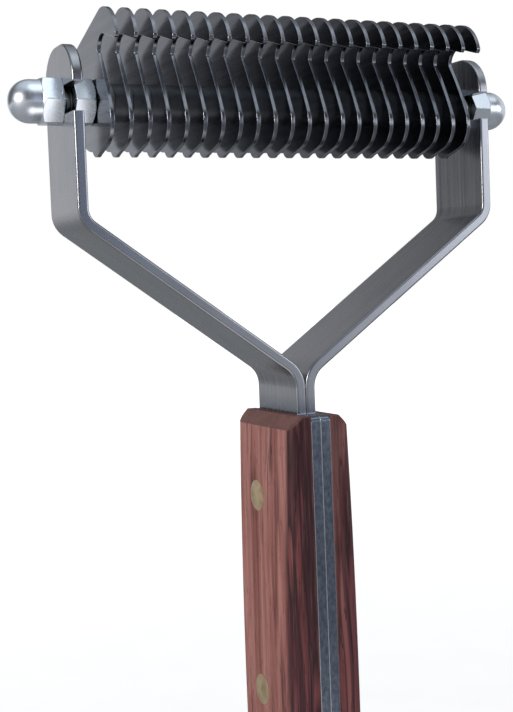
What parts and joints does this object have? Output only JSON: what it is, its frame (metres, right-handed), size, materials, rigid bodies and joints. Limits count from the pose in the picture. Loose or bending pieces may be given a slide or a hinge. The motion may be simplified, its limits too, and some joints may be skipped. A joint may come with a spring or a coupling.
{
  "type": "dematting comb",
  "caption": "Pet dematting comb: a row of hooked blades threaded on an axle across a Y-shaped flat steel frame, on a straight wooden handle with brass rivets.",
  "frame": {"origin": "middle of the hand grip, between the two wooden scales", "axes": "+Z runs along the grip to the blade head; X runs along the blade axle; -Y is the side the hooks face"},
  "size_m": [0.106, 0.0259, 0.1852],
  "materials": {
    "frame_steel": "fine brushed stainless strip with rolled edges",
    "blade_steel": "polished hardened blade steel",
    "spacer_steel": "turned steel",
    "axle_steel": "zinc-plated thread",
    "nut_plating": "bright nickel plate",
    "scale_wood": "oiled reddish hardwood, satin",
    "rivet_brass": "dull brass, ground flush"
  },
  "bodies": {
    "frame": {"frame_arm_left": "frame_steel", "frame_arm_right": "frame_steel", "handle_scale_left": "scale_wood", "handle_scale_right": "scale_wood", "rivet_top": "rivet_brass", "rivet_middle": "rivet_brass", "rivet_bottom": "rivet_brass"},
    "axle": {"threaded_axle": "axle_steel"},
    "blade_pack": {"blade_01": "blade_steel", "blade_02": "blade_steel", "blade_03": "blade_steel", "blade_04": "blade_steel", "blade_05": "blade_steel", "blade_06": "blade_steel", "blade_07": "blade_steel", "blade_08": "blade_steel", "blade_09": "blade_steel", "blade_10": "blade_steel", "blade_11": "blade_steel", "blade_12": "blade_steel", "blade_13": "blade_steel", "blade_14": "blade_steel", "blade_15": "blade_steel", "blade_16": "blade_steel", "blade_17": "blade_steel", "blade_18": "blade_steel", "blade_19": "blade_steel", "blade_20": "blade_steel", "blade_21": "blade_steel", "blade_22": "blade_steel", "spacer_01": "spacer_steel", "spacer_02": "spacer_steel", "spacer_03": "spacer_steel", "spacer_04": "spacer_steel", "spacer_05": "spacer_steel", "spacer_06": "spacer_steel", "spacer_07": "spacer_steel", "spacer_08": "spacer_steel", "spacer_09": "spacer_steel", "spacer_10": "spacer_steel", "spacer_11": "spacer_steel", "spacer_12": "spacer_steel", "spacer_13": "spacer_steel", "spacer_14": "spacer_steel", "spacer_15": "spacer_steel", "spacer_16": "spacer_steel", "spacer_17": "spacer_steel", "spacer_18": "spacer_steel", "spacer_19": "spacer_steel", "spacer_20": "spacer_steel", "spacer_21": "spacer_steel"},
    "inner_nut_l": {"inner_nut_left": "nut_plating"},
    "inner_nut_r": {"inner_nut_right": "nut_plating"},
    "acorn_nut_l": {"acorn_nut_left": "nut_plating"},
    "acorn_nut_r": {"acorn_nut_right": "nut_plating"}
  },
  "joints": [
    {"name": "axle_release", "type": "slide", "parent": "frame", "child": "axle", "axis": [0, -1, 0], "range_m": [0, 0.014]},
    {"name": "blade_pack_turn", "type": "hinge", "parent": "axle", "child": "blade_pack", "pos_m": [0, 0.002, 0.1145], "axis": [1, 0, 0], "continuous": true},
    {"name": "inner_nut_left_turn", "type": "hinge", "parent": "axle", "child": "inner_nut_l", "pos_m": [0, 0.002, 0.1145], "axis": [1, 0, 0], "continuous": true},
    {"name": "inner_nut_right_turn", "type": "hinge", "parent": "axle", "child": "inner_nut_r", "pos_m": [0, 0.002, 0.1145], "axis": [1, 0, 0], "continuous": true},
    {"name": "acorn_nut_left_turn", "type": "hinge", "parent": "axle", "child": "acorn_nut_l", "pos_m": [0, 0.002, 0.1145], "axis": [1, 0, 0], "continuous": true},
    {"name": "acorn_nut_right_turn", "type": "hinge", "parent": "axle", "child": "acorn_nut_r", "pos_m": [0, 0.002, 0.1145], "axis": [1, 0, 0], "continuous": true}
  ]
}
